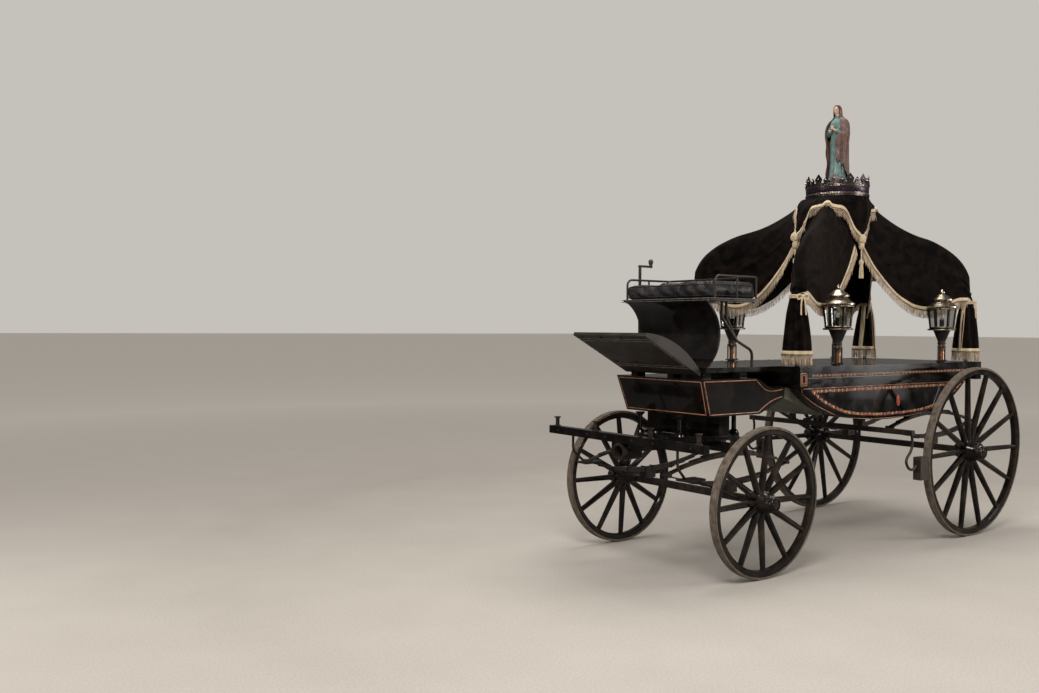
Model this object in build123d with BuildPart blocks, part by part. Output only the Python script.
"""A horse-drawn hearse carriage: boat hull on a flat deck, box seat, velvet canopy and four lamps.

Units are millimetres. +X points ahead, +Y to the driver's left and +Z up. The origin lies on the
floor, under the middle of the carriage. A station is a distance ahead of the rear axle.
"""
from build123d import *
from math import atan2, cos, hypot, radians, sin, sqrt
import os

os.makedirs("parts", exist_ok=True)

# Driving dimensions: wheels and axles
REAR_WHEEL_RADIUS = 610
FRONT_WHEEL_RADIUS = 455
WHEELBASE = 2220
REAR_TRACK = 1390          # outside faces of the tyres, measured on the floor
FRONT_TRACK = 1312
CAMBER = 2.0               # degrees that each wheel leans out at its top
TYRE_WIDTH = 50
TYRE_THICKNESS = 14
FELLOE_DEPTH = 38
FELLOE_WIDTH = 44
SPOKE_WIDTH = 36           # at the nave, in the wheel's plane
SPOKE_DEPTH = 46
SPINDLE_RADIUS = 22
SEAT_GAP = 0.3             # left between pieces that are seated on each other
RUNNING_GAP = 0.05         # radial, between a spindle or kingpin and its bore

# Driving dimensions: body. A size that ends in AHEAD or BEHIND is measured from the front axle
HULL_SINK = 26             # by which the hull's lowest point lies under the tops of the rear springs
HULL_DEPTH = 258
DECK_DEPTH = 132           # from the hull's top edge to the top of the deck
DECK_HALF_WIDTH = 530
DECK_BEHIND = 460
DECK_OVERHANG = 380        # behind the rear axle
DECK_BOARD = 35
HULL_HALF_WIDTH = 470
BOOT_HALF_WIDTH = 382
BOOT_FOOT_HALF_WIDTH = 365
BOOT_DROP = 70             # from the deck's top to the boot's
BOOT_DEPTH = 230
BOOT_TOP_AHEAD = 267
BOOT_FOOT_AHEAD = 190
BOOT_FOOT_BEHIND = 275
ARCH_RISE = 96             # from the boot's bottom to the top of the wheel arch
PLATFORM_HALF_WIDTH = 370
PLATFORM_AHEAD = 220
PLATFORM_THICKNESS = 30
FOOTBOARD_AHEAD = 674
FOOTBOARD_LIFT = 212       # of its top edge above the deck
FOOTBOARD_HALF_WIDTH = 330
FOOTBOARD_THICKNESS = 20

# Driving dimensions: driver's seat
SEAT_AHEAD = 213
SEAT_BEHIND = 230
SEAT_HALF_WIDTH = 400
SEAT_LIFT = 426            # of the seat board's top above the deck
SEAT_BOARD = 22
CUSHION_HEIGHT = 100
RAIL_HEIGHT = 135
RAIL_RADIUS = 7

# Driving dimensions: canopy, crown and lamps
CANOPY_HALF_LENGTH = 1000
CANOPY_HALF_WIDTH = 440
POST_RADIUS = 14
POST_HEIGHT = 500          # of the straight part, above the deck
TIE_DROP = 50              # from the top of the straight part to the tie
HOOP_RADIUS = 215
HOOP_DEPTH = 60
CROWN_BAND = 95
CROWN_POINT = 65
CROWN_POINTS = 12
FIGURE_HEIGHT = 566
LAMP_AHEAD = 605           # from the canopy's middle
LAMP_BEHIND = 635
LAMP_HALF_SPACING = 460

# Driving dimensions: running gear
SPRING_HALF_LENGTH = 530
SPRING_SPACING = 360       # from the centre line to each spring
SPRING_RISE = 75           # of the main leaf of each half
LEAF = 7
LEAF_STEP = 100            # by which each leaf is shorter, at each end, than the one inside it
LEAF_COUNT = 4
SPRING_WIDTH = 44
AXLE_BED = 42
SPRING_PAD = 44
RING_RADIUS = 330
RING_WIDTH = 55
RING_THICKNESS = 14
SPLINTER_AHEAD = 560
SPLINTER_HALF_LENGTH = 700
SPLINTER_HEIGHT = 50
SPLINTER_WIDTH = 62

# Sizes of the wheels' hubs that the axles share
NAVE_INNER = 118           # from the rim's middle plane in to the back of the nave
NAVE_OUTER = 44
CAP_LENGTH = 40
CAP_RADIUS = 34
COLLAR_THICKNESS = 12
COLLAR_GAP = 1.0
COLLAR_STEP = 20           # of the collar's radius over the arm's
ARM_SHORT = 4              # by which an arm ends inside its nave
PAD_LENGTH = 90
PAD_EXTRA = 12             # of a pad's width over its spring's


def wheel_centre_height(radius):
    lean = radians(CAMBER)
    return radius * cos(lean) + TYRE_WIDTH / 2 * sin(lean)


def wheel_centre_side(radius, track):
    lean = radians(CAMBER)
    return track / 2 + radius * sin(lean) - TYRE_WIDTH / 2 * cos(lean)


def axle_bed_height(radius):
    """The height of the middle of an axle's square bed."""
    return wheel_centre_height(radius) + (NAVE_INNER + COLLAR_GAP) * sin(radians(CAMBER))


def axle_seat_height(radius):
    """The height of the pads on which the springs of an axle rest."""
    return axle_bed_height(radius) + AXLE_BED / 2 + SPRING_PAD


# Heights that follow from the wheels and the springs
SPRING_STACK = LEAF_COUNT * LEAF
SPRING_HEIGHT = 2 * (SPRING_RISE + SPRING_STACK)
REAR_SPRING_TOP = axle_seat_height(REAR_WHEEL_RADIUS) + SPRING_HEIGHT
FORE_TOP = axle_seat_height(FRONT_WHEEL_RADIUS) + SPRING_HEIGHT
HULL_BOTTOM = REAR_SPRING_TOP - HULL_SINK
HULL_TOP = HULL_BOTTOM + HULL_DEPTH
DECK_TOP = HULL_TOP + DECK_DEPTH
BOOT_TOP = DECK_TOP - BOOT_DROP
BOOT_BOTTOM = BOOT_TOP - BOOT_DEPTH
ARCH_TOP = BOOT_BOTTOM + ARCH_RISE
PLATFORM_TOP = DECK_TOP
PLATFORM_FOOT = PLATFORM_TOP - PLATFORM_THICKNESS
FOOTBOARD_TOP = DECK_TOP + FOOTBOARD_LIFT
SEAT_TOP = DECK_TOP + SEAT_LIFT
SEAT_FOOT = SEAT_TOP - SEAT_BOARD
POST_TOP = DECK_TOP + POST_HEIGHT
TIE_HEIGHT = POST_TOP - TIE_DROP

# Stations that follow from the wheelbase
DECK_FRONT = WHEELBASE - DECK_BEHIND
DECK_REAR = -DECK_OVERHANG
BOOT_FRONT_TOP = WHEELBASE + BOOT_TOP_AHEAD
BOOT_FRONT_BOTTOM = WHEELBASE + BOOT_FOOT_AHEAD
BOOT_REAR_BOTTOM = WHEELBASE - BOOT_FOOT_BEHIND
ARCH_STATION = DECK_FRONT - 41
PLATFORM_FRONT = WHEELBASE + PLATFORM_AHEAD
FOOTBOARD_STATION = WHEELBASE + FOOTBOARD_AHEAD
SEAT_FRONT = WHEELBASE + SEAT_AHEAD
SEAT_REAR = WHEELBASE - SEAT_BEHIND
SPLINTER_STATION = WHEELBASE + SPLINTER_AHEAD
CANOPY_CENTRE = (DECK_FRONT + DECK_REAR) / 2 - 10

# The footboard's rise over its run sets how far ahead its lower corner reaches
FOOTBOARD_RUN = FOOTBOARD_STATION - PLATFORM_FRONT - SEAT_GAP
FOOTBOARD_RISE = FOOTBOARD_TOP - PLATFORM_FOOT
FOOTBOARD_LENGTH = hypot(FOOTBOARD_RUN, FOOTBOARD_RISE)
FRONT_REACH = FOOTBOARD_STATION + FOOTBOARD_THICKNESS * FOOTBOARD_RISE / FOOTBOARD_LENGTH
MIDDLE = (FRONT_REACH - REAR_WHEEL_RADIUS) / 2
SIDES = (("left", 1), ("right", -1))
ON_FOOT = (Align.CENTER, Align.CENTER, Align.MIN)


def at(station):
    """The x of a station."""
    return station - MIDDLE


def finish(piece, name):
    """Labels a finished piece and writes its file."""
    piece.part.label = name
    export_step(piece.part, f"parts/{name}.step")


# The wheels: table of end, station, radius, track, spokes, dish, nave radius
WHEELS = (
    ("front", WHEELBASE, FRONT_WHEEL_RADIUS, FRONT_TRACK, 12, 34, 70),
    ("rear", 0, REAR_WHEEL_RADIUS, REAR_TRACK, 14, 40, 78),
)


def wheel_plane(station, radius, track, side):
    """The rim's middle plane, with its normal out along the dipped axle arm."""
    lean = radians(CAMBER)
    return Plane(
        origin=(at(station), side * wheel_centre_side(radius, track), wheel_centre_height(radius)),
        x_dir=(1, 0, 0),
        z_dir=(0, side * cos(lean), -sin(lean)),
    )


for end, station, radius, track, spokes, dish, nave_radius in WHEELS:
    felloe_outer = radius - TYRE_THICKNESS - SEAT_GAP
    felloe_inner = felloe_outer - FELLOE_DEPTH

    with BuildPart() as tyre:
        with BuildSketch(Plane.XZ):
            with Locations((radius - TYRE_THICKNESS / 2, 0)):
                Rectangle(TYRE_THICKNESS, TYRE_WIDTH)
            outer_corners = vertices().group_by(Axis.X)[-1]
            chamfer(outer_corners, 4)
        revolve(axis=Axis.Z)

    with BuildPart() as spoke:
        with BuildSketch(Plane.YZ.offset(nave_radius - 12)):
            with Locations((0, -dish)):
                Rectangle(SPOKE_WIDTH, SPOKE_DEPTH)
            chamfer(vertices(), 0.3 * SPOKE_WIDTH)
        with BuildSketch(Plane.YZ.offset(felloe_inner + 4)):
            Rectangle(0.78 * SPOKE_WIDTH, 0.72 * SPOKE_DEPTH)
            chamfer(vertices(), 0.22 * SPOKE_WIDTH)
        loft(ruled=True)

    with BuildPart() as wheel:
        with BuildSketch(Plane.XZ):
            with Locations((felloe_inner + FELLOE_DEPTH / 2, 0)):
                Rectangle(FELLOE_DEPTH, FELLOE_WIDTH)
            inner_corners = vertices().group_by(Axis.X)[0]
            chamfer(inner_corners, 8)
        revolve(axis=Axis.Z)
        with BuildSketch(Plane.XZ):
            with BuildLine():
                Polyline(
                    (0, -NAVE_INNER),
                    (nave_radius - 22, -NAVE_INNER),
                    (nave_radius - 16, -NAVE_INNER + 30),
                    (nave_radius, -dish - 26),
                    (nave_radius, -dish + 26),
                    (nave_radius - 14, NAVE_OUTER - 18),
                    (nave_radius - 14, NAVE_OUTER),
                    (0, NAVE_OUTER),
                    close=True,
                )
            make_face()
        revolve(axis=Axis.Z)
        with PolarLocations(0, spokes):
            add(spoke.part)
        Hole(SPINDLE_RADIUS + RUNNING_GAP)

    with BuildPart() as cap:
        with BuildSketch(Plane.XZ):
            with BuildLine():
                Polyline(
                    (0, NAVE_OUTER + SEAT_GAP),
                    (CAP_RADIUS + 6, NAVE_OUTER + SEAT_GAP),
                    (CAP_RADIUS + 6, NAVE_OUTER + 8),
                    (CAP_RADIUS, NAVE_OUTER + 12),
                    (CAP_RADIUS - 5, NAVE_OUTER + CAP_LENGTH - 4),
                    (CAP_RADIUS - 10, NAVE_OUTER + CAP_LENGTH),
                    (0, NAVE_OUTER + CAP_LENGTH),
                    close=True,
                )
            make_face()
        revolve(axis=Axis.Z)

    for side_name, side in SIDES:
        place = wheel_plane(station, radius, track, side).location
        for kind, source in (("tyre", tyre), ("wheel", wheel), ("hub_cap", cap)):
            with BuildPart() as placed:
                with Locations(place):
                    add(source.part)
            finish(placed, f"{kind}_{end}_{side_name}")

# The axles: a square bed between the collars, and a dipped round arm for each wheel
for end, station, radius, track, spokes, dish, nave_radius in WHEELS:
    arm_start = NAVE_INNER + COLLAR_GAP
    bed_half = wheel_centre_side(radius, track) - arm_start
    bed_height = axle_bed_height(radius)
    with BuildPart() as axle:
        with Locations((at(station), 0, bed_height)):
            Box(AXLE_BED, 2 * bed_half, AXLE_BED)
        for side_name, side in SIDES:
            plane = wheel_plane(station, radius, track, side)
            with Locations(plane.offset(-arm_start).location):
                Cylinder(SPINDLE_RADIUS, arm_start + NAVE_OUTER - ARM_SHORT, align=ON_FOOT)
                Cylinder(
                    SPINDLE_RADIUS + COLLAR_STEP,
                    COLLAR_THICKNESS,
                    align=(Align.CENTER, Align.CENTER, Align.MAX),
                )
        pad_height = bed_height + AXLE_BED / 2
        with Locations([(at(station), side * SPRING_SPACING, pad_height) for side_name, side in SIDES]):
            Box(PAD_LENGTH, SPRING_WIDTH + PAD_EXTRA, SPRING_PAD, align=ON_FOOT)
    finish(axle, f"{end}_axle")

EYE_HEIGHT = SPRING_HEIGHT / 2
EYE_RADIUS = 13
EYE_EXTRA = 16             # of an eye's width over the leaves'
CLAMP_LENGTH = 70
CLAMP_EXTRA = 8            # of a clamp's width over the leaves'
LEAF_BEND = (SPRING_HALF_LENGTH**2 + SPRING_RISE**2) / (2 * SPRING_RISE)
LEAF_CENTRE = EYE_HEIGHT - SPRING_RISE + LEAF_BEND


def leaf_point(radius, turn):
    """A point of a lower leaf's arc, at an angle in radians from its middle."""
    return (radius * sin(turn), LEAF_CENTRE - radius * cos(turn))


# An elliptic spring: a lower and an upper set of leaves, joined at the eyes
with BuildPart() as spring:
    with BuildSketch(Plane.XZ):
        for layer in range(LEAF_COUNT):
            inner = LEAF_BEND + layer * LEAF
            outer = inner + LEAF
            turn = (SPRING_HALF_LENGTH - layer * LEAF_STEP) / inner
            with BuildLine():
                upper = ThreePointArc(*(leaf_point(inner, share * turn) for share in (-1, 0, 1)))
                lower = ThreePointArc(*(leaf_point(outer, share * turn) for share in (-1, 0, 1)))
                Line(upper @ 0, lower @ 0)
                Line(upper @ 1, lower @ 1)
            make_face()
        mirror(about=Plane.XZ.offset(-EYE_HEIGHT))
    extrude(amount=SPRING_WIDTH / 2, both=True)
    eye_places = [(end * SPRING_HALF_LENGTH, 0, EYE_HEIGHT) for end in (-1, 1)]
    with Locations([Location(place, (90, 0, 0)) for place in eye_places]):
        Cylinder(EYE_RADIUS, SPRING_WIDTH + EYE_EXTRA)
    with Locations([(0, 0, SPRING_STACK / 2), (0, 0, SPRING_HEIGHT - SPRING_STACK / 2)]):
        Box(CLAMP_LENGTH, SPRING_WIDTH + CLAMP_EXTRA, SPRING_STACK)

for end, station, radius, track, spokes, dish, nave_radius in WHEELS:
    foot = axle_seat_height(radius)
    with BuildPart() as springs:
        with Locations([(at(station), y, foot) for y in (SPRING_SPACING, -SPRING_SPACING)]):
            add(spring.part)
    finish(springs, f"{end}_springs")

# The fore-carriage: a transom on the front springs, the lower turning ring and two futchells
TRANSOM_HEIGHT = 62
TRANSOM_WIDTH = 90
RING_FOOT = FORE_TOP + TRANSOM_HEIGHT
RING_TOP = RING_FOOT + RING_THICKNESS
KINGPIN_RADIUS = 18
FUTCHELL_WIDTH = 42
FUTCHELL_DEPTH = 46
FUTCHELL_REAR = WHEELBASE - 320
FUTCHELL_REAR_SPACING = 215
FUTCHELL_FRONT_SPACING = 75
CROSSBAR_WIDTH = 46        # of the bar across the futchells' rear ends
CROSSBAR_STATION = FUTCHELL_REAR + 30
KINGPIN_PLATE_RADIUS = 60
POLE_RADIUS = 38
POLE_SOCKET_LENGTH = 150
SPLINTER_FOOT = FORE_TOP + TRANSOM_HEIGHT - 6

with BuildPart() as fore_bed:
    with Locations((at(WHEELBASE), 0, FORE_TOP)):
        Box(
            TRANSOM_WIDTH,
            2 * (SPRING_SPACING + SPRING_WIDTH),
            TRANSOM_HEIGHT,
            align=ON_FOOT,
        )
    with BuildSketch(Plane.XY.offset(SPLINTER_FOOT - FUTCHELL_DEPTH)):
        for side_name, side in SIDES:
            with BuildLine():
                Polyline(
                    (at(FUTCHELL_REAR), side * (FUTCHELL_REAR_SPACING - FUTCHELL_WIDTH / 2)),
                    (at(SPLINTER_STATION), side * (FUTCHELL_FRONT_SPACING - FUTCHELL_WIDTH / 2)),
                    (at(SPLINTER_STATION), side * (FUTCHELL_FRONT_SPACING + FUTCHELL_WIDTH / 2)),
                    (at(FUTCHELL_REAR), side * (FUTCHELL_REAR_SPACING + FUTCHELL_WIDTH / 2)),
                    close=True,
                )
            make_face()
    extrude(amount=FUTCHELL_DEPTH)
    with Locations((at(CROSSBAR_STATION), 0, SPLINTER_FOOT - FUTCHELL_DEPTH)):
        Box(CROSSBAR_WIDTH, 2 * FUTCHELL_REAR_SPACING, FUTCHELL_DEPTH, align=ON_FOOT)
    with BuildSketch(Plane.XY.offset(RING_FOOT)):
        with Locations((at(WHEELBASE), 0)):
            Circle(RING_RADIUS)
            Circle(RING_RADIUS - RING_WIDTH, mode=Mode.SUBTRACT)
    extrude(amount=RING_THICKNESS)
    with Locations((at(WHEELBASE), 0, RING_FOOT)):
        Cylinder(KINGPIN_PLATE_RADIUS, RING_THICKNESS, align=ON_FOOT)
    with Locations((at(WHEELBASE), 0, RING_TOP)):
        Hole(KINGPIN_RADIUS + RUNNING_GAP, depth=RING_THICKNESS + TRANSOM_HEIGHT)
finish(fore_bed, "fore_bed")

# The splinter bar with its roller bolts, to which the traces are hooked
BOLT_RADIUS = 13
BOLT_HEIGHT = 62
BOLT_FLANGE_RADIUS = BOLT_RADIUS + 9
BOLT_FLANGE = 5
BOLT_HEAD = 7
BOLT_SPACINGS = (640, 250, -250, -640)
with BuildPart() as splinter_bar:
    with BuildSketch(Plane.XY.offset(SPLINTER_FOOT)):
        with BuildLine():
            Polyline(
                (at(SPLINTER_STATION) - SPLINTER_WIDTH / 2, 0),
                (at(SPLINTER_STATION) - SPLINTER_WIDTH / 2 + 8, SPLINTER_HALF_LENGTH),
                (at(SPLINTER_STATION) + SPLINTER_WIDTH / 2 - 8, SPLINTER_HALF_LENGTH),
                (at(SPLINTER_STATION) + SPLINTER_WIDTH / 2, 0),
                close=True,
            )
        make_face()
        mirror(about=Plane.XZ)
    extrude(amount=SPLINTER_HEIGHT)
finish(splinter_bar, "splinter_bar")

SPLINTER_TOP = SPLINTER_FOOT + SPLINTER_HEIGHT
with BuildPart() as roller_bolts:
    for spacing in BOLT_SPACINGS:
        with Locations((at(SPLINTER_STATION), spacing, SPLINTER_TOP)):
            Cylinder(BOLT_FLANGE_RADIUS, BOLT_FLANGE, align=ON_FOOT)
            Cylinder(BOLT_RADIUS, BOLT_HEIGHT, align=ON_FOOT)
        with Locations((at(SPLINTER_STATION), spacing, SPLINTER_TOP + BOLT_HEIGHT - BOLT_HEAD)):
            Cylinder(BOLT_FLANGE_RADIUS, BOLT_HEAD, align=ON_FOOT)
finish(roller_bolts, "roller_bolts")

# The pole socket, between the futchells' front ends and under the splinter bar
with BuildPart() as pole_socket:
    socket_outer = FUTCHELL_FRONT_SPACING - FUTCHELL_WIDTH / 2 - SEAT_GAP
    with BuildSketch(Plane.YZ.offset(at(SPLINTER_STATION) + SPLINTER_WIDTH / 2)):
        with Locations((0, SPLINTER_FOOT - socket_outer)):
            Circle(socket_outer)
            Circle(POLE_RADIUS, mode=Mode.SUBTRACT)
    extrude(amount=-POLE_SOCKET_LENGTH)
finish(pole_socket, "pole_socket")

# The steps, hung from the splinter bar and braced to the front axle
STEP_SPACING = 455
STEP_STATION = SPLINTER_STATION - 130
STEP_HEIGHT = SPLINTER_FOOT - 181
STEP_IRON_RADIUS = 8
STEP_LENGTH = 150
STEP_WIDTH = 95
STEP_THICKNESS = 12
with BuildPart() as step_irons:
    for side_name, side in SIDES:
        top = Vector(at(SPLINTER_STATION), side * (STEP_SPACING + 20), SPLINTER_FOOT)
        foot = Vector(at(STEP_STATION) + 40, side * STEP_SPACING, STEP_HEIGHT)
        brace = Vector(at(STEP_STATION) - 40, side * STEP_SPACING, STEP_HEIGHT - 3)
        axle_face = Vector(
            at(WHEELBASE) + AXLE_BED / 2 + 5,
            side * STEP_SPACING,
            wheel_centre_height(FRONT_WHEEL_RADIUS),
        )
        with BuildLine():
            hanger = FilletPolyline(top, Vector(top.X, top.Y, foot.Z + 80), foot, radius=60)
        with BuildSketch(Plane(origin=hanger @ 0, z_dir=hanger % 0)):
            Circle(STEP_IRON_RADIUS)
        sweep(path=hanger)
        with BuildLine():
            stay = Line(brace, axle_face)
        with BuildSketch(Plane(origin=stay @ 0, z_dir=stay % 0)):
            Circle(STEP_IRON_RADIUS)
        sweep(path=stay)
        with Locations((at(STEP_STATION), side * STEP_SPACING, STEP_HEIGHT)):
            Box(STEP_LENGTH, STEP_WIDTH, STEP_THICKNESS)
finish(step_irons, "step_irons")

# The boot, a closed box under the driver's seat, and the turntable's upper half below it
UPPER_RING_FOOT = RING_TOP + SEAT_GAP
NECK_START = ARCH_STATION + 21
NECK_TOP = WHEELBASE - 219
NECK_FLAT = WHEELBASE - 276
NECK_RISE = WHEELBASE - 320
NECK_LOW = WHEELBASE - 390
NECK_DIP = 8
NECK_ROUND = 20
neck_turn = (at(NECK_RISE), HULL_TOP + 16)
with BuildPart() as boot:
    with BuildSketch(Plane.XZ):
        with BuildLine():
            Polyline(
                (at(NECK_TOP), BOOT_TOP),
                (at(BOOT_FRONT_TOP), BOOT_TOP),
                (at(BOOT_FRONT_BOTTOM), BOOT_BOTTOM),
                (at(BOOT_REAR_BOTTOM), BOOT_BOTTOM),
                (at(ARCH_STATION), ARCH_TOP),
                (at(ARCH_STATION), HULL_TOP),
                (at(NECK_START), HULL_TOP),
            )
            ThreePointArc((at(NECK_START), HULL_TOP), (at(NECK_LOW), HULL_TOP - NECK_DIP), neck_turn)
            ThreePointArc(neck_turn, (at(NECK_FLAT), BOOT_TOP - NECK_ROUND), (at(NECK_TOP), BOOT_TOP))
        make_face()
    extrude(amount=BOOT_HALF_WIDTH, both=True)
    with BuildSketch(Plane.YZ.offset(at(ARCH_STATION))):
        for side_name, side in SIDES:
            with BuildLine():
                Polyline(
                    (side * BOOT_HALF_WIDTH, BOOT_TOP),
                    (side * BOOT_FOOT_HALF_WIDTH, BOOT_BOTTOM),
                    (side * (BOOT_HALF_WIDTH + 5), BOOT_BOTTOM),
                    close=True,
                )
            make_face()
    extrude(amount=BOOT_FRONT_TOP - ARCH_STATION, mode=Mode.SUBTRACT)
finish(boot, "boot")

STAY_RADIUS = 15           # of the turned stays between the upper ring and the boot
STAY_TURN = 36             # degrees from the middle line to each stay
with BuildPart() as upper_bed:
    with BuildSketch(Plane.XY.offset(UPPER_RING_FOOT)):
        with Locations((at(WHEELBASE), 0)):
            Circle(RING_RADIUS)
            Circle(RING_RADIUS - RING_WIDTH, mode=Mode.SUBTRACT)
    extrude(amount=RING_THICKNESS)
    with Locations((at(WHEELBASE), 0, UPPER_RING_FOOT)):
        Box(
            TRANSOM_WIDTH,
            2 * RING_RADIUS - 20,
            BOOT_BOTTOM - UPPER_RING_FOOT,
            align=ON_FOOT,
        )
    with BuildSketch(Plane.XZ):
        with BuildLine():
            Polyline(
                (0, UPPER_RING_FOOT + RING_THICKNESS),
                (STAY_RADIUS + 16, UPPER_RING_FOOT + RING_THICKNESS),
                (STAY_RADIUS + 12, UPPER_RING_FOOT + RING_THICKNESS + 10),
                (STAY_RADIUS, UPPER_RING_FOOT + RING_THICKNESS + 22),
                (STAY_RADIUS, BOOT_BOTTOM - 22),
                (STAY_RADIUS + 12, BOOT_BOTTOM - 10),
                (STAY_RADIUS + 16, BOOT_BOTTOM),
                (0, BOOT_BOTTOM),
                close=True,
            )
        make_face()
    ring_stay = revolve(axis=Axis.Z, mode=Mode.PRIVATE)
    ring_middle = RING_RADIUS - RING_WIDTH / 2
    with Locations((at(WHEELBASE), 0, 0)):
        with Locations(
            [
                (ring_middle * cos(radians(turn)), ring_middle * sin(radians(turn)), 0)
                for turn in (STAY_TURN, 180 - STAY_TURN, 180 + STAY_TURN, -STAY_TURN)
            ]
        ):
            add(ring_stay)
    with Locations((at(WHEELBASE), 0, UPPER_RING_FOOT)):
        Cylinder(
            KINGPIN_RADIUS,
            RING_THICKNESS + TRANSOM_HEIGHT - 10,
            align=(Align.CENTER, Align.CENTER, Align.MAX),
        )
finish(upper_bed, "upper_bed")

# The hull, boat-shaped in side view with rounded bilges
HULL_HALF_LENGTH = (DECK_FRONT - DECK_REAR) / 2 - 89
BILGE_HALF_LENGTH = HULL_HALF_LENGTH - 365
BOW_HALF_LENGTH = HULL_HALF_LENGTH - 156
BILGE_HEIGHT = HULL_BOTTOM + 59
BOW_HEIGHT = BILGE_HEIGHT + 74
TIP_HEIGHT = HULL_TOP - 14
BILGE_RADIUS = 40
with BuildPart() as hull:
    with BuildSketch(Plane.XZ):
        with BuildLine():
            keel = ThreePointArc(
                (at(CANOPY_CENTRE - BILGE_HALF_LENGTH), BILGE_HEIGHT),
                (at(CANOPY_CENTRE), HULL_BOTTOM),
                (at(CANOPY_CENTRE + BILGE_HALF_LENGTH), BILGE_HEIGHT),
            )
            bow = ThreePointArc(
                keel @ 1,
                (at(CANOPY_CENTRE + BOW_HALF_LENGTH), BOW_HEIGHT),
                (at(CANOPY_CENTRE + HULL_HALF_LENGTH), TIP_HEIGHT),
            )
            stern = ThreePointArc(
                keel @ 0,
                (at(CANOPY_CENTRE - BOW_HALF_LENGTH), BOW_HEIGHT),
                (at(CANOPY_CENTRE - HULL_HALF_LENGTH), TIP_HEIGHT),
            )
            Polyline(
                bow @ 1,
                (at(CANOPY_CENTRE + HULL_HALF_LENGTH), HULL_TOP),
                (at(CANOPY_CENTRE - HULL_HALF_LENGTH), HULL_TOP),
                stern @ 1,
            )
        make_face()
    extrude(amount=HULL_HALF_WIDTH, both=True)
    bilge_edges = edges().filter_by(Plane.XZ).filter_by(GeomType.CIRCLE)
    fillet(bilge_edges, BILGE_RADIUS)
finish(hull, "hull")

# The fairing that closes the wheel arch below the hull's bow
FAIRING_STATION = ARCH_STATION - 361
with BuildPart() as arch_fairing:
    with BuildSketch(Plane.XZ):
        with BuildLine():
            top_arc = ThreePointArc(
                (at(CANOPY_CENTRE + BILGE_HALF_LENGTH), BILGE_HEIGHT - SEAT_GAP),
                (at(CANOPY_CENTRE + BOW_HALF_LENGTH + SEAT_GAP), BOW_HEIGHT - SEAT_GAP),
                (at(CANOPY_CENTRE + HULL_HALF_LENGTH), TIP_HEIGHT - SEAT_GAP),
            )
            Polyline(
                top_arc @ 1,
                (at(ARCH_STATION - SEAT_GAP), HULL_TOP),
                (at(ARCH_STATION - SEAT_GAP), ARCH_TOP),
                (at(FAIRING_STATION), BILGE_HEIGHT - 8),
                top_arc @ 0,
            )
        make_face()
    extrude(amount=BOOT_FOOT_HALF_WIDTH, both=True)
finish(arch_fairing, "arch_fairing")

# The deck: a board on three mouldings, with a block at each front corner; table of the height over
# the hull's top, depth, inset of the sides and inset of the ends
MOULDINGS = (
    (0, 18, 45, 45),
    (18, 37, 22, 22),
    (55, DECK_DEPTH - DECK_BOARD - 55, 30, 30),
    (DECK_DEPTH - DECK_BOARD, DECK_BOARD, 0, 0),
)
CORNER_BLOCK = 74
with BuildPart() as deck:
    for foot, depth, side_inset, end_inset in MOULDINGS:
        with Locations((at((DECK_FRONT + DECK_REAR) / 2), 0, HULL_TOP + foot)):
            Box(
                DECK_FRONT - DECK_REAR - 2 * end_inset,
                2 * (DECK_HALF_WIDTH - side_inset),
                depth,
                align=ON_FOOT,
            )
    block_places = [
        (at(station), side * (DECK_HALF_WIDTH - CORNER_BLOCK / 2), HULL_TOP)
        for station in (DECK_FRONT - CORNER_BLOCK / 2, DECK_REAR + CORNER_BLOCK / 2)
        for side_name, side in SIDES
    ]
    with Locations(block_places):
        Box(
            CORNER_BLOCK,
            CORNER_BLOCK,
            DECK_DEPTH - DECK_BOARD,
            align=ON_FOOT,
        )
finish(deck, "deck")

# The blocks that carry the hull on the rear springs
BLOCK_TOP = HULL_TOP - 60
HULL_BLOCK_LENGTH = 110
HULL_BLOCK_WIDTH = SPRING_WIDTH + 20
with BuildPart() as spring_blocks:
    with Locations([(at(0), y, REAR_SPRING_TOP) for y in (SPRING_SPACING, -SPRING_SPACING)]):
        Box(HULL_BLOCK_LENGTH, HULL_BLOCK_WIDTH, BLOCK_TOP - REAR_SPRING_TOP, align=ON_FOOT)
    add(hull.part.moved(Location((0, 0, -SEAT_GAP))), mode=Mode.SUBTRACT)
finish(spring_blocks, "spring_blocks")

# The platform that joins the deck to the footboard, on four blocks over the boot
PLATFORM_BLOCK_SPACING = 290
PLATFORM_BLOCK_LENGTH = 70
PLATFORM_BLOCK_WIDTH = 60
with BuildPart() as platform:
    with BuildSketch(Plane.XY.offset(PLATFORM_FOOT)):
        with Locations((at((PLATFORM_FRONT + DECK_FRONT + SEAT_GAP) / 2), 0)):
            Rectangle(PLATFORM_FRONT - DECK_FRONT - SEAT_GAP, 2 * PLATFORM_HALF_WIDTH)
    extrude(amount=PLATFORM_THICKNESS)
    block_places = [
        (at(station), y, BOOT_TOP)
        for station in (WHEELBASE - 170, PLATFORM_FRONT - 60)
        for y in (-PLATFORM_BLOCK_SPACING, PLATFORM_BLOCK_SPACING)
    ]
    with Locations(block_places):
        Box(PLATFORM_BLOCK_LENGTH, PLATFORM_BLOCK_WIDTH, PLATFORM_FOOT - BOOT_TOP, align=ON_FOOT)
finish(platform, "platform")

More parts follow.
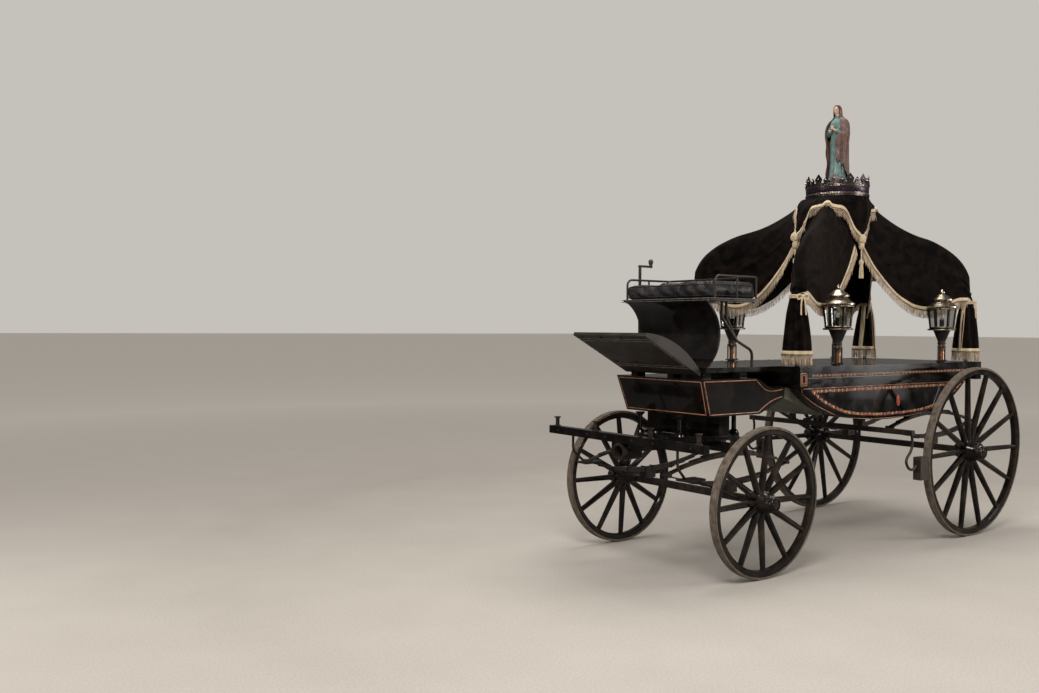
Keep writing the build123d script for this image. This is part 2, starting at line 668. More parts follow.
# The footboard, a sloping board between two raised cheeks
CHEEK_HEIGHT = 55
CHEEK_THICKNESS = 16
heel = (at(PLATFORM_FRONT) + SEAT_GAP, 0, PLATFORM_FOOT)
board_side = Plane(origin=heel, x_dir=(FOOTBOARD_RUN, 0, FOOTBOARD_RISE), z_dir=(0, -1, 0))
with BuildPart() as footboard:
    with BuildSketch(board_side):
        with Locations((FOOTBOARD_LENGTH / 2, -FOOTBOARD_THICKNESS / 2)):
            Rectangle(FOOTBOARD_LENGTH, FOOTBOARD_THICKNESS)
    extrude(amount=FOOTBOARD_HALF_WIDTH, both=True)
    for side_name, side in SIDES:
        cheek_offset = -side * (FOOTBOARD_HALF_WIDTH - CHEEK_THICKNESS / 2)
        with BuildSketch(board_side.offset(cheek_offset)):
            with BuildLine():
                brim = Line((0, 0), (FOOTBOARD_LENGTH, 0))
                ThreePointArc(brim @ 0, (FOOTBOARD_LENGTH * 0.4, CHEEK_HEIGHT), brim @ 1)
            make_face()
        extrude(amount=CHEEK_THICKNESS / 2, both=True)
finish(footboard, "footboard")

# The riser, a bent sheet from the footboard's heel up to the front of the seat
RISER_THICKNESS = 16
RISER_HALF_WIDTH = 352
RISER_BACK = WHEELBASE + 85
RISER_MIDDLE = PLATFORM_TOP + 140
RISER_FOOT = PLATFORM_FRONT - 4
RISER_TOP = SEAT_FRONT - 4
with BuildPart() as seat_riser:
    with BuildSketch(Plane.XZ):
        with BuildLine():
            front = ThreePointArc(
                (at(RISER_FOOT), PLATFORM_TOP + SEAT_GAP),
                (at(RISER_BACK + RISER_THICKNESS), RISER_MIDDLE),
                (at(RISER_TOP), SEAT_FOOT - SEAT_GAP),
            )
            back = ThreePointArc(
                (at(RISER_FOOT - RISER_THICKNESS - 6), PLATFORM_TOP + SEAT_GAP),
                (at(RISER_BACK), RISER_MIDDLE),
                (at(RISER_TOP - RISER_THICKNESS), SEAT_FOOT - SEAT_GAP),
            )
            Line(front @ 0, back @ 0)
            Line(front @ 1, back @ 1)
        make_face()
    extrude(amount=RISER_HALF_WIDTH, both=True)
finish(seat_riser, "seat_riser")

# The driver's seat: board with a moulding under its edge, cushion and iron rail
SEAT_LENGTH = SEAT_FRONT - SEAT_REAR
SEAT_MIDDLE = (SEAT_FRONT + SEAT_REAR) / 2
SEAT_MOULDING = 9
SEAT_MOULDING_TOP = SEAT_FOOT + 8
SEAT_CORNER = 30
with BuildPart() as seat_board:
    for foot, top, inset in (
        (SEAT_FOOT, SEAT_MOULDING_TOP, SEAT_MOULDING),
        (SEAT_MOULDING_TOP, SEAT_TOP, 0),
    ):
        with BuildSketch(Plane.XY.offset(foot)):
            with Locations((at(SEAT_MIDDLE), 0)):
                RectangleRounded(SEAT_LENGTH - 2 * inset, 2 * (SEAT_HALF_WIDTH - inset), SEAT_CORNER)
        extrude(amount=top - foot)
finish(seat_board, "seat_board")

CUSHION_MARGIN = 24
CUSHION_LENGTH = SEAT_LENGTH - 2 * CUSHION_MARGIN
CUSHION_WIDTH = 2 * (SEAT_HALF_WIDTH - CUSHION_MARGIN)
CUSHION_CORNER = 40
CUSHION_ROUND = 30
with BuildPart() as seat_cushion:
    with BuildSketch(Plane.XY.offset(SEAT_TOP + SEAT_GAP)):
        with Locations((at(SEAT_MIDDLE), 0)):
            RectangleRounded(CUSHION_LENGTH, CUSHION_WIDTH, CUSHION_CORNER)
    extrude(amount=CUSHION_HEIGHT)
    fillet(edges().group_by(Axis.Z)[-1], CUSHION_ROUND)
finish(seat_cushion, "seat_cushion")

RAIL_INSET = 10
RAIL_POST_SPACING = 220
RAIL_POST_RADIUS = RAIL_RADIUS - 1
RAIL_BEND = 40
RAIL_SHORT = 42            # from the seat's front edge back to the rail's front posts
rail_side = SEAT_HALF_WIDTH - RAIL_INSET
rail_front = at(SEAT_FRONT) - RAIL_SHORT
rail_rear = at(SEAT_REAR) + RAIL_INSET
rail_foot = SEAT_TOP + SEAT_GAP
rail_top = SEAT_TOP + RAIL_HEIGHT
with BuildPart() as seat_rail:
    with BuildLine() as rail_path:
        FilletPolyline(
            (rail_front, rail_side, rail_foot),
            (rail_front, rail_side, rail_top),
            (rail_rear, rail_side, rail_top),
            (rail_rear, -rail_side, rail_top),
            (rail_front, -rail_side, rail_top),
            (rail_front, -rail_side, rail_foot),
            radius=RAIL_BEND,
        )
    with BuildSketch(Plane(origin=rail_path.line @ 0, z_dir=rail_path.line % 0)):
        Circle(RAIL_RADIUS)
    sweep(path=rail_path.line)
    post_places = [(rail_rear + 20, y, rail_foot) for y in (rail_side, -rail_side)]
    post_places += [((rail_rear + rail_front) / 2, y, rail_foot) for y in (rail_side, -rail_side)]
    post_places += [(rail_rear, y, rail_foot) for y in (-RAIL_POST_SPACING, 0, RAIL_POST_SPACING)]
    with Locations(post_places):
        Cylinder(RAIL_POST_RADIUS, RAIL_HEIGHT, align=ON_FOOT)
finish(seat_rail, "seat_rail")

# The seat's stays: two bent irons at each end, from under the seat to the platform
STAY_RADIUS = 9
STAY_SPACING = 340
STAY_TOPS = (WHEELBASE + 55, WHEELBASE + 15)
STAY_BEND = WHEELBASE - 80
STAY_FOOT = WHEELBASE - 225
STAY_BEND_HEIGHT = PLATFORM_TOP + 165
with BuildPart() as seat_stays:
    for side_name, side in SIDES:
        for station in STAY_TOPS:
            with BuildLine() as stay_path:
                FilletPolyline(
                    (at(station), side * STAY_SPACING, SEAT_FOOT - SEAT_GAP),
                    (at(station), side * STAY_SPACING, STAY_BEND_HEIGHT + 145),
                    (at(STAY_BEND), side * STAY_SPACING, STAY_BEND_HEIGHT),
                    (at(STAY_FOOT), side * STAY_SPACING, STAY_BEND_HEIGHT - 65),
                    (at(STAY_FOOT), side * STAY_SPACING, PLATFORM_TOP + SEAT_GAP),
                    radius=50,
                )
            with BuildSketch(Plane(origin=stay_path.line @ 0, z_dir=stay_path.line % 0)):
                Circle(STAY_RADIUS)
            sweep(path=stay_path.line)
finish(seat_stays, "seat_stays")

# The brake's crank on its upright shaft, at the driver's right hand
BRAKE_STATION = WHEELBASE + 20
BRAKE_SIDE = -SEAT_HALF_WIDTH - 32
BRAKE_TOP = SEAT_TOP + 234
BRAKE_FOOT = PLATFORM_TOP + 12
CRANK_RADIUS = 10
CRANK_REACH = 100
CRANK_BOSS = 19
CRANK_BOSS_LENGTH = 20
CRANK_BAR = (CRANK_REACH + 16, 18, 14)
GRIP_RADIUS = 7
GRIP_LENGTH = 50
GRIP_BOLT_RADIUS = 10
CRANK_BRACKET = (24, 12)   # length and thickness
CRANK_STUB_RADIUS = 14
with BuildPart() as brake_crank:
    with Locations((at(BRAKE_STATION), BRAKE_SIDE, BRAKE_FOOT)):
        Cylinder(CRANK_RADIUS, BRAKE_TOP - BRAKE_FOOT, align=ON_FOOT)
    with Locations((at(BRAKE_STATION - CRANK_REACH / 2), BRAKE_SIDE, BRAKE_TOP)):
        Box(*CRANK_BAR)
    with Locations((at(BRAKE_STATION - CRANK_REACH), BRAKE_SIDE, BRAKE_TOP)):
        Cylinder(GRIP_RADIUS, GRIP_LENGTH, align=ON_FOOT)
        Sphere(GRIP_BOLT_RADIUS)
    for height in (SEAT_TOP - SEAT_BOARD / 2, BRAKE_FOOT + 10):
        with Locations((at(BRAKE_STATION), BRAKE_SIDE, height)):
            Cylinder(CRANK_BOSS, CRANK_BOSS_LENGTH)
    for height, inner in (
        (SEAT_TOP - SEAT_BOARD / 2 + 2, SEAT_HALF_WIDTH),
        (PLATFORM_TOP - PLATFORM_THICKNESS / 2, PLATFORM_HALF_WIDTH),
    ):
        with Locations((at(BRAKE_STATION), -inner - SEAT_GAP, height)):
            Box(
                CRANK_BRACKET[0],
                -BRAKE_SIDE - inner,
                CRANK_BRACKET[1],
                align=(Align.CENTER, Align.MAX, Align.CENTER),
            )
    with Locations((at(BRAKE_STATION), BRAKE_SIDE, PLATFORM_FOOT)):
        Cylinder(CRANK_STUB_RADIUS, BRAKE_FOOT - PLATFORM_FOOT, align=ON_FOOT)
finish(brake_crank, "brake_crank")

# The canopy's ribs: a corner post that bends over, in two arcs, and back up to the hoop in a third
DIAGONAL = hypot(CANOPY_HALF_LENGTH, CANOPY_HALF_WIDTH)
RIB_ARCS = (
    # radius, slope at the start, slope at the end, in degrees above the horizontal
    (330, 90, 40),
    (620, 40, 14),
    (1103, 14, 45),
)


def canopy_plane(front, side):
    """The upright plane of a corner's diagonal: x runs from the post to the middle, y is height."""
    run = Vector(-front * CANOPY_HALF_LENGTH, -side * CANOPY_HALF_WIDTH, 0)
    return Plane(
        origin=(at(CANOPY_CENTRE + front * CANOPY_HALF_LENGTH), side * CANOPY_HALF_WIDTH, 0),
        x_dir=run,
        z_dir=run.cross(Vector(0, 0, 1)),
    )


def rib_height(along, cover=0):
    """The height of a rib's centre line, or of a line that far outside it, at a distance from its post."""
    start = (0.0, POST_TOP)
    for bend, first, last in RIB_ARCS:
        hollow = 1 if last > first else -1
        centre = (
            start[0] - hollow * bend * sin(radians(first)),
            start[1] + hollow * bend * cos(radians(first)),
        )
        covered = bend - hollow * cover
        stop = centre[0] + hollow * covered * sin(radians(last))
        if along <= stop or bend == RIB_ARCS[-1][0]:
            return centre[1] - hollow * sqrt(covered**2 - (along - centre[0]) ** 2)
        start = (
            centre[0] + hollow * bend * sin(radians(last)),
            centre[1] - hollow * bend * cos(radians(last)),
        )


HOOP_FOOT = rib_height(DIAGONAL - HOOP_RADIUS) - HOOP_DEPTH / 2
CROWN_FOOT = HOOP_FOOT + HOOP_DEPTH
CORNERS = [(front, side) for front in (1, -1) for side in (1, -1)]
with BuildPart() as canopy_ribs:
    for front, side in CORNERS:
        with BuildLine(canopy_plane(front, side)) as rib:
            post = Line((0, DECK_TOP + SEAT_GAP), (0, POST_TOP))
            last = post
            for bend, first_slope, last_slope in RIB_ARCS:
                last = JernArc(last @ 1, last % 1, bend, last_slope - first_slope)
        with BuildSketch(Plane(origin=rib.line @ 0, z_dir=rib.line % 0)):
            Circle(POST_RADIUS)
        sweep(path=rib.line)
    with Locations((at(CANOPY_CENTRE), 0, DECK_TOP)):
        Cylinder(
            HOOP_RADIUS + SEAT_GAP,
            2 * HOOP_FOOT - DECK_TOP,
            align=ON_FOOT,
            mode=Mode.SUBTRACT,
        )
finish(canopy_ribs, "canopy_ribs")

HOOP_THICKNESS = 14
with BuildPart() as canopy_hoop:
    with BuildSketch(Plane.XY.offset(HOOP_FOOT)):
        with Locations((at(CANOPY_CENTRE), 0)):
            Circle(HOOP_RADIUS)
            Circle(HOOP_RADIUS - HOOP_THICKNESS, mode=Mode.SUBTRACT)
    extrude(amount=HOOP_DEPTH)
finish(canopy_hoop, "canopy_hoop")

# The velvet cover has an arched opening on each of its four sides. Each hem runs from a hanging
# point, ahead of, behind or beside the crown, down to the tie at a post. A wing is the cloth over
# one rib, between the hems of two openings
HEM_POINT_AHEAD = 440      # from the canopy's middle to the front and rear hanging points
HEM_POINT_ASIDE = 180      # and to the side ones
HEM_POINT_HEIGHT = CROWN_FOOT - 330
HEM_DIPS = (
    # share of the way from the tie to the point, height above the tie
    (0.0, 0),
    (0.1, 0),
    (0.14, -16),
    (0.27, -64),
    (0.4, -74),
    (0.5, -58),
    (0.64, 12),
    (0.75, 105),
    (0.87, 230),
)
VELVET = 12
RIB_COVER = POST_RADIUS + 10
TIE_HALF_WIDTH = 34
SEAM_GAP = 3               # from each wing to the middle plane, beyond which the next wing starts
WING_STATIONS = (
    # distance of the ridge from the post, and the share of each hem's way from the tie to its
    # point: the hem of the front or rear opening, then the hem of the side opening
    (-RIB_COVER, 0.0, 0.0),
    (4, 0.03, 0.02),
    (70, 0.10, 0.08),
    (150, 0.23, 0.15),
    (250, 0.37, 0.25),
    (350, 0.50, 0.35),
    (450, 0.62, 0.45),
    (560, 0.74, 0.56),
    (660, 0.84, 0.67),
    (745, 0.92, 0.79),
    (790, 0.96, 0.89),
    (830, 1.0, 1.0),
)


def hem_height(share):
    """The height of a hem at a share of the way from its tie to its hanging point."""
    stops = [(stop, TIE_HEIGHT + SEAT_GAP + lift) for stop, lift in HEM_DIPS]
    stops.append((1.0, HEM_POINT_HEIGHT))
    for (start, low), (stop, high) in zip(stops, stops[1:]):
        if share <= stop:
            return low + (high - low) * (share - start) / (stop - start)


def wing_section(front, side, ahead, aside, share, along):
    """The plane and the outline of a wing's half, cut from its ridge down to the hem of one opening."""
    across = canopy_plane(front, side)
    point = across.to_local_coords(Vector(at(CANOPY_CENTRE) + front * ahead, side * aside, 0))
    hand = 1 if point.Z > 0 else -1
    hem_along = point.X * share
    hem_across = hand * TIE_HALF_WIDTH * (1 - share) ** 3 + point.Z * share**1.25
    ridge_place = across.from_local_coords((along, 0, 0))
    run = across.from_local_coords((hem_along, 0, hem_across)) - ridge_place
    ridge = rib_height(along, RIB_COVER) if along > 0 else POST_TOP + 10
    hem = hem_height(share)
    reach = run.length
    shoulder = ((0.72 - 0.3 * share) * reach, hem + (0.88 - 0.14 * share) * (ridge - hem))
    flank = ((1.0 - 0.3 * share) * reach, hem + (0.45 - 0.04 * share) * (ridge - hem))
    outline = [
        (0, ridge + VELVET),
        (min(18, 0.4 * reach), ridge + VELVET - 3),
        (shoulder[0] + VELVET * 0.7, shoulder[1] + VELVET * 0.7),
        (flank[0] + VELVET, flank[1]),
        (reach + VELVET * 0.5, hem),
        (reach - VELVET * 0.5, hem),
        flank,
        shoulder,
        (min(18, 0.4 * reach), ridge - 3),
        (0, ridge),
    ]
    return Plane(origin=ridge_place, x_dir=run, z_dir=run.cross(Vector(0, 0, 1))), outline


with BuildPart() as canopy_wings:
    for front, side in CORNERS:
        for opening, ahead, aside in (
            (1, HEM_POINT_AHEAD, 2 * SEAM_GAP),
            (2, 2 * SEAM_GAP, HEM_POINT_ASIDE),
        ):
            for station in WING_STATIONS:
                section_plane, outline = wing_section(
                    front, side, ahead, aside, station[opening], station[0]
                )
                with BuildSketch(section_plane):
                    with BuildLine():
                        Polyline(*outline, close=True)
                    make_face()
            loft(ruled=True)
finish(canopy_wings, "canopy_wings")

# The velvet tails below the ties, one round each post
TAIL_TOP_RADIUS = 44
TAIL_FOOT_RADIUS = 96
TAIL_FOOT = DECK_TOP + 12
with BuildPart() as canopy_tails:
    with BuildSketch(Plane.XZ):
        with BuildLine():
            Polyline(
                (POST_RADIUS + SEAT_GAP, TIE_HEIGHT),
                (TAIL_TOP_RADIUS, TIE_HEIGHT),
                (TAIL_TOP_RADIUS + 20, TIE_HEIGHT - 90),
                (TAIL_FOOT_RADIUS - 8, TAIL_FOOT + 90),
                (TAIL_FOOT_RADIUS, TAIL_FOOT),
                (POST_RADIUS + SEAT_GAP, TAIL_FOOT),
                close=True,
            )
        make_face()
    tail = revolve(axis=Axis.Z, mode=Mode.PRIVATE)
    with Locations([canopy_plane(front, side).origin for front, side in CORNERS]):
        add(tail)
finish(canopy_tails, "canopy_tails")

# The velvet dome under the crown: its lower edge arches over each rib and hangs to a point over
# the top of each opening; table of share of the way from a rib to a point, drop under the crown
DOME_EDGE = (
    (0.0, 62),
    (0.45, 100),
    (0.75, 160),
    (0.86, 250),
    (1.0, 322),
)
DOME_RIB_RADIUS = 330
DOME_POINT_AHEAD = HEM_POINT_AHEAD + 36
DOME_POINT_ASIDE = HEM_POINT_ASIDE + 36
DOME_TOP_RADIUS = HOOP_RADIUS + 5
DOME_TOP = CROWN_FOOT - SEAT_GAP
with BuildPart() as canopy_dome:
    for front, side in CORNERS:
        turn = atan2(CANOPY_HALF_WIDTH, CANOPY_HALF_LENGTH)
        start = Vector(front * DOME_RIB_RADIUS * cos(turn), side * DOME_RIB_RADIUS * sin(turn), 0)
        for stop in (
            Vector(front * DOME_POINT_AHEAD, 0, 0),
            Vector(0, side * DOME_POINT_ASIDE, 0),
        ):
            for share, drop in DOME_EDGE:
                edge = start + (stop - start) * share
                outward = Plane(
                    origin=(at(CANOPY_CENTRE), 0, 0),
                    x_dir=edge,
                    z_dir=edge.cross(Vector(0, 0, 1)),
                )
                shoulder = HOOP_RADIUS + 0.6 * (edge.length - HOOP_RADIUS) + 0.12 * drop
                with BuildSketch(outward):
                    with BuildLine():
                        Polyline(
                            (DOME_TOP_RADIUS, DOME_TOP),
                            (shoulder, CROWN_FOOT - 0.36 * drop),
                            (edge.length, CROWN_FOOT - drop),
                            (edge.length - VELVET, CROWN_FOOT - drop - 3),
                            (shoulder - VELVET * 0.8, CROWN_FOOT - 0.36 * drop - VELVET * 0.6),
                            (DOME_TOP_RADIUS, DOME_TOP - VELVET),
                            close=True,
                        )
                    make_face()
            loft(ruled=True)
finish(canopy_dome, "canopy_dome")

# The tassels, on short cords below the dome's four points
TASSEL_LENGTH = 270
TASSEL_RADIUS = 15
TASSEL_INSET = 4
TASSEL_TOP = CROWN_FOOT - DOME_EDGE[-1][1] - 3 - SEAT_GAP
tassel_ahead = DOME_POINT_AHEAD - TASSEL_INSET
tassel_aside = DOME_POINT_ASIDE - TASSEL_INSET
tassel_places = [(at(CANOPY_CENTRE) + front * tassel_ahead, 0, TASSEL_TOP) for front in (1, -1)]
tassel_places += [(at(CANOPY_CENTRE), side * tassel_aside, TASSEL_TOP) for side in (1, -1)]
with BuildPart() as tassels:
    with BuildSketch(Plane.XZ):
        with BuildLine():
            Polyline(
                (0, 0),
                (8, 0),
                (18, -22),
                (18, -44),
                (5, -66),
                (5, -0.5 * TASSEL_LENGTH),
                (13, -0.5 * TASSEL_LENGTH - 12),
                (13, -0.5 * TASSEL_LENGTH - 34),
                (9, -0.5 * TASSEL_LENGTH - 42),
                (TASSEL_RADIUS, -0.5 * TASSEL_LENGTH - 56),
                (TASSEL_RADIUS + 3, -TASSEL_LENGTH),
                (0, -TASSEL_LENGTH),
                close=True,
            )
        make_face()
    tassel = revolve(axis=Axis.Z, mode=Mode.PRIVATE)
    with Locations(tassel_places):
        add(tassel)
finish(tassels, "tassels")

# The crown: a moulded band, a low cap inside it and a ring of points
CROWN_RADIUS = HOOP_RADIUS + 4
CROWN_WALL = 12
CROWN_POINT_SINK = 5
CROWN_POINT_THICKNESS = 8
CAP_RISE = 30
with BuildPart() as crown:
    with BuildSketch(Plane.XZ):
        with BuildLine():
            Polyline(
                (0, CROWN_FOOT + SEAT_GAP),
                (CROWN_RADIUS + 5, CROWN_FOOT + SEAT_GAP),
                (CROWN_RADIUS + 5, CROWN_FOOT + 14),
                (CROWN_RADIUS, CROWN_FOOT + 20),
                (CROWN_RADIUS + 2, CROWN_FOOT + CROWN_BAND - 20),
                (CROWN_RADIUS + 8, CROWN_FOOT + CROWN_BAND - 12),
                (CROWN_RADIUS + 8, CROWN_FOOT + CROWN_BAND),
                (CROWN_RADIUS - CROWN_WALL, CROWN_FOOT + CROWN_BAND),
                (CROWN_RADIUS - CROWN_WALL, CROWN_FOOT + 40),
                (90, CROWN_FOOT + CROWN_BAND - 6),
                (90, CROWN_FOOT + CROWN_BAND + CAP_RISE),
                (0, CROWN_FOOT + CROWN_BAND + CAP_RISE),
                close=True,
            )
        make_face()
    revolve(axis=Axis.Z)
    for scale, shift in ((1.0, 0), (0.62, 180 / CROWN_POINTS)):
        with BuildSketch(Plane.YZ.offset(CROWN_RADIUS - CROWN_POINT_SINK)):
            with BuildLine():
                Polyline(
                    (-20 * scale, CROWN_FOOT + CROWN_BAND - 2),
                    (-30 * scale, CROWN_FOOT + CROWN_BAND + 0.42 * CROWN_POINT * scale),
                    (0, CROWN_FOOT + CROWN_BAND + CROWN_POINT * scale),
                    (30 * scale, CROWN_FOOT + CROWN_BAND + 0.42 * CROWN_POINT * scale),
                    (20 * scale, CROWN_FOOT + CROWN_BAND - 2),
                    close=True,
                )
            make_face()
        point = extrude(amount=CROWN_POINT_THICKNESS, mode=Mode.PRIVATE)
        with PolarLocations(0, CROWN_POINTS, start_angle=shift):
            add(point)
with BuildPart() as placed_crown:
    with Locations((at(CANOPY_CENTRE), 0, 0)):
        add(crown.part)
finish(placed_crown, "crown")

# The carved figure on the crown: robe, shoulders, head and clasped hands
FIGURE_FOOT = CROWN_FOOT + CROWN_BAND + CAP_RISE + SEAT_GAP
HEAD_RADIUS = 36
HANDS_AHEAD = 52
HANDS_SIZE = (46, 40, 56)
FIGURE_SECTIONS = (
    # share of the height, half depth, half width
    (0.0, 62, 70),
    (0.05, 58, 66),
    (0.30, 52, 74),
    (0.52, 56, 84),
    (0.72, 52, 86),
    (0.80, 42, 74),
    (0.86, 24, 28),
)
with BuildPart() as figure:
    for share, half_depth, half_width in FIGURE_SECTIONS:
        with BuildSketch(Plane.XY.offset(FIGURE_FOOT + share * FIGURE_HEIGHT)):
            with Locations((at(CANOPY_CENTRE), 0)):
                Rectangle(2 * half_depth, 2 * half_width)
            chamfer(vertices(), min(half_depth, half_width) * 0.55)
    loft(ruled=True)
    with Locations((at(CANOPY_CENTRE), 0, FIGURE_FOOT + FIGURE_HEIGHT - HEAD_RADIUS * 1.25)):
        Sphere(HEAD_RADIUS)
    with Locations((at(CANOPY_CENTRE), 0, FIGURE_FOOT + FIGURE_HEIGHT - HEAD_RADIUS)):
        Sphere(HEAD_RADIUS)
    with Locations((at(CANOPY_CENTRE) + HANDS_AHEAD, 0, FIGURE_FOOT + 0.71 * FIGURE_HEIGHT)):
        Box(*HANDS_SIZE)
finish(figure, "figure")

# The lamps, on stems at the deck's edges; heights are above the deck
STEM_HEIGHT = 134
FUNNEL_HEIGHT = 94
GLASS_FOOT = 246
GLASS_HEIGHT = 156
GLASS_FOOT_RADIUS = 84
GLASS_TOP_RADIUS = 102
LAMP_SIDES = 6
BRACKET_REACH = 44
SCROLL_RADIUS = 5
LAMP_FLOOR = 12
CANDLE_RADIUS = 16
CANDLE_HEIGHT = 70
LAMP_STATIONS = (CANOPY_CENTRE + LAMP_AHEAD, CANOPY_CENTRE - LAMP_BEHIND)
LAMP_PLACES = [(at(station), side * LAMP_HALF_SPACING) for station in LAMP_STATIONS for side in (1, -1)]
with BuildPart() as lamp_stem:
    with BuildSketch(Plane.XZ):
        with BuildLine():
            Polyline(
                (0, SEAT_GAP),
                (34, SEAT_GAP),
                (34, 8),
                (18, 20),
                (14, 60),
                (20, STEM_HEIGHT - 40),
                (24, STEM_HEIGHT),
                (22, STEM_HEIGHT + 10),
                (48, STEM_HEIGHT + FUNNEL_HEIGHT - 20),
                (58, GLASS_FOOT - LAMP_FLOOR - SEAT_GAP),
                (0, GLASS_FOOT - LAMP_FLOOR - SEAT_GAP),
                close=True,
            )
        make_face()
    revolve(axis=Axis.Z)
    with BuildLine() as scroll_path:
        FilletPolyline(
            (16, 0, STEM_HEIGHT - 8),
            (BRACKET_REACH, 0, STEM_HEIGHT - 8),
            (BRACKET_REACH, 0, 12),
            (BRACKET_REACH + 22, 0, 12),
            radius=10,
        )
    with BuildSketch(Plane(origin=scroll_path.line @ 0, z_dir=scroll_path.line % 0)):
        Circle(SCROLL_RADIUS)
    scroll = sweep(path=scroll_path.line, mode=Mode.PRIVATE)
    with Locations([Location((0, 0, 0), (0, 0, turn)) for turn in (0, 180)]):
        add(scroll)
with BuildPart() as lamp_frame:
    with BuildSketch(Plane.XY.offset(GLASS_FOOT - LAMP_FLOOR)):
        RegularPolygon(GLASS_FOOT_RADIUS + 12, LAMP_SIDES)
    extrude(amount=LAMP_FLOOR)
    with BuildSketch(Plane.XY.offset(GLASS_FOOT)):
        RegularPolygon(GLASS_FOOT_RADIUS, LAMP_SIDES)
    with BuildSketch(Plane.XY.offset(GLASS_FOOT + GLASS_HEIGHT)):
        RegularPolygon(GLASS_TOP_RADIUS, LAMP_SIDES)
    loft(ruled=True)
    with BuildSketch(Plane.XY.offset(GLASS_FOOT)):
        RegularPolygon(GLASS_FOOT_RADIUS - 10, LAMP_SIDES)
    with BuildSketch(Plane.XY.offset(GLASS_FOOT + GLASS_HEIGHT)):
        RegularPolygon(GLASS_TOP_RADIUS - 10, LAMP_SIDES)
    loft(ruled=True, mode=Mode.SUBTRACT)
    with BuildSketch(Plane.XZ):
        with BuildLine():
            Polyline(
                (-GLASS_FOOT_RADIUS * 0.36, GLASS_FOOT + 12),
                (GLASS_FOOT_RADIUS * 0.36, GLASS_FOOT + 12),
                (GLASS_TOP_RADIUS * 0.36, GLASS_FOOT + GLASS_HEIGHT - 12),
                (-GLASS_TOP_RADIUS * 0.36, GLASS_FOOT + GLASS_HEIGHT - 12),
                close=True,
            )
        make_face()
    window = extrude(amount=GLASS_TOP_RADIUS + 20, mode=Mode.PRIVATE)
    with PolarLocations(0, LAMP_SIDES):
        add(window, mode=Mode.SUBTRACT)
    with Locations((0, 0, GLASS_FOOT)):
        Cylinder(CANDLE_RADIUS, CANDLE_HEIGHT, align=ON_FOOT)
with BuildPart() as lamp_glass:
    for inset, mode in ((10 + SEAT_GAP * 1.2, Mode.ADD), (14, Mode.SUBTRACT)):
        with BuildSketch(Plane.XY.offset(GLASS_FOOT + SEAT_GAP)):
            RegularPolygon(GLASS_FOOT_RADIUS - inset, LAMP_SIDES)
        with BuildSketch(Plane.XY.offset(GLASS_FOOT + GLASS_HEIGHT)):
            RegularPolygon(GLASS_TOP_RADIUS - inset, LAMP_SIDES)
        loft(ruled=True, mode=mode)
with BuildPart() as lamp_roof:
    with BuildSketch(Plane.XZ):
        with BuildLine():
            Polyline(
                (0, GLASS_FOOT + GLASS_HEIGHT + SEAT_GAP),
                (GLASS_TOP_RADIUS + 6, GLASS_FOOT + GLASS_HEIGHT + SEAT_GAP),
                (GLASS_TOP_RADIUS + 6, GLASS_FOOT + GLASS_HEIGHT + 8),
                (70, GLASS_FOOT + GLASS_HEIGHT + 34),
                (58, GLASS_FOOT + GLASS_HEIGHT + 50),
                (73, GLASS_FOOT + GLASS_HEIGHT + 54),
                (73, GLASS_FOOT + GLASS_HEIGHT + 62),
                (30, GLASS_FOOT + GLASS_HEIGHT + 96),
                (10, GLASS_FOOT + GLASS_HEIGHT + 104),
                (14, GLASS_FOOT + GLASS_HEIGHT + 120),
                (0, GLASS_FOOT + GLASS_HEIGHT + 138),
                close=True,
            )
        make_face()
    revolve(axis=Axis.Z)
for source, name in (
    (lamp_stem, "lamp_stems"),
    (lamp_frame, "lamp_frames"),
    (lamp_glass, "lamp_glass"),
    (lamp_roof, "lamp_roofs"),
):
    with BuildPart() as lamps:
        with Locations([(x, y, DECK_TOP) for x, y in LAMP_PLACES]):
            add(source.part)
    finish(lamps, name)

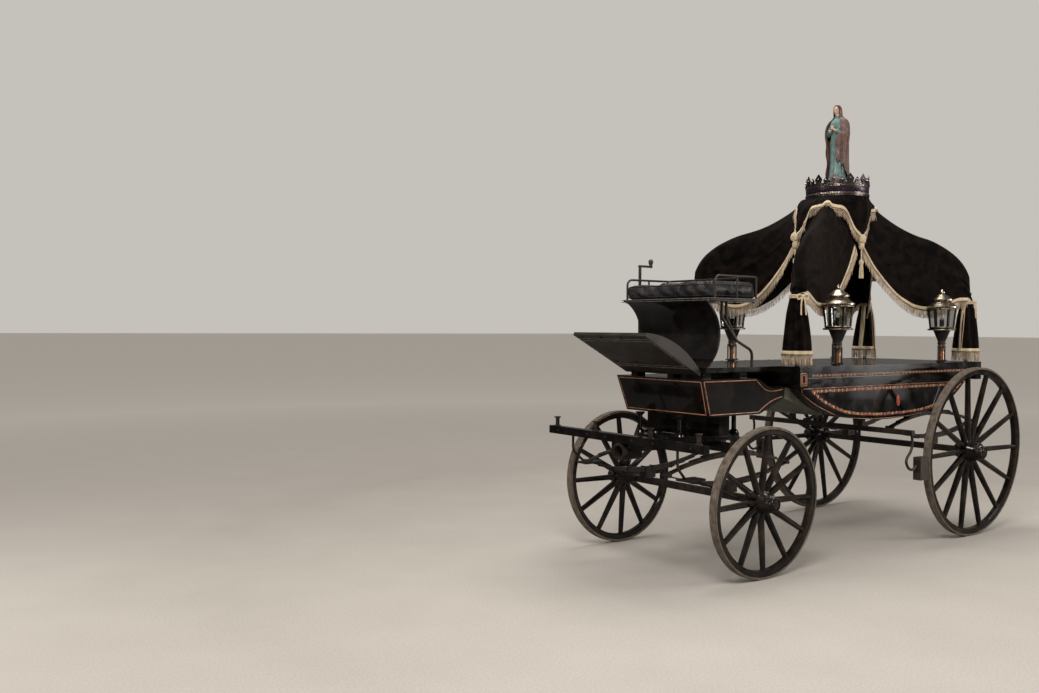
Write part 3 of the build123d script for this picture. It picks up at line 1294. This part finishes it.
# The rear brake: a beam hung under the hull ahead of the rear wheels, with a wooden block at each end
BLOCK_GAP = 12
BLOCK_THICKNESS = 84
BLOCK_HALF_HEIGHT = 78
BLOCK_WIDTH = TYRE_WIDTH + 8
BLOCK_HEIGHT = wheel_centre_height(REAR_WHEEL_RADIUS) - 70
BLOCK_BACK = REAR_WHEEL_RADIUS + BLOCK_GAP + BLOCK_THICKNESS
BLOCK_SIDE = wheel_centre_side(REAR_WHEEL_RADIUS, REAR_TRACK) - 6
BEAM_DROP = 70             # from the hull's lowest point to the beam's middle
BEAM_HEIGHT = HULL_BOTTOM - BEAM_DROP
BEAM_WIDTH = 34
HANGER_SPACING = 300
HANGER_WIDTH = 40
HANGER_SINK = 60           # by which the hangers reach into the hull's bottom before the cut
with BuildPart() as brake_blocks:
    with Locations([(at(BLOCK_BACK), side * BLOCK_SIDE, BLOCK_HEIGHT) for side_name, side in SIDES]):
        Box(
            2 * BLOCK_THICKNESS,
            BLOCK_WIDTH,
            2 * BLOCK_HALF_HEIGHT,
            align=(Align.MAX, Align.CENTER, Align.CENTER),
        )
    for side_name, side in SIDES:
        with Locations(wheel_plane(0, REAR_WHEEL_RADIUS, REAR_TRACK, side).location):
            Cylinder(REAR_WHEEL_RADIUS + BLOCK_GAP, 4 * TYRE_WIDTH, mode=Mode.SUBTRACT)
finish(brake_blocks, "brake_blocks")

PLATE_THICKNESS = 10
PLATE_WIDTH = 40
PLATE_HEIGHT = 70
ARM_RADIUS = 9
BEAM_STATION = BLOCK_BACK + 78
ARM_BENDS = (
    # from the block's front face: how far ahead; from the beam down: share of the drop to the block
    (78, 0.0),
    (60, 0.25),
    (78, 0.56),
    (128, 0.84),
    (108, 1.02),
    (PLATE_THICKNESS, 1.0),
)
ARM_DROP = BEAM_HEIGHT - BLOCK_HEIGHT - 24
with BuildPart() as brake_beam:
    with Locations((at(BEAM_STATION), 0, BEAM_HEIGHT)):
        Box(BEAM_WIDTH, 2 * BLOCK_SIDE + PLATE_WIDTH, BEAM_WIDTH)
    with Locations([(at(BEAM_STATION), y, BEAM_HEIGHT) for y in (-HANGER_SPACING, HANGER_SPACING)]):
        Box(BEAM_WIDTH, HANGER_WIDTH, BEAM_DROP + HANGER_SINK, align=ON_FOOT)
    for side_name, side in SIDES:
        with BuildLine():
            arm = Spline(
                [
                    (at(BLOCK_BACK + ahead), side * BLOCK_SIDE, BEAM_HEIGHT - share * ARM_DROP)
                    for ahead, share in ARM_BENDS
                ]
            )
        with BuildSketch(Plane(origin=arm @ 0, z_dir=arm % 0)):
            Circle(ARM_RADIUS)
        sweep(path=arm)
    plate_height = BEAM_HEIGHT - ARM_DROP
    with Locations([(at(BLOCK_BACK + SEAT_GAP), side * BLOCK_SIDE, plate_height) for side in (1, -1)]):
        Box(PLATE_THICKNESS, PLATE_WIDTH, PLATE_HEIGHT, align=(Align.MIN, Align.CENTER, Align.CENTER))
    add(hull.part.moved(Location((0, 0, -SEAT_GAP))), mode=Mode.SUBTRACT)
finish(brake_beam, "brake_beam")
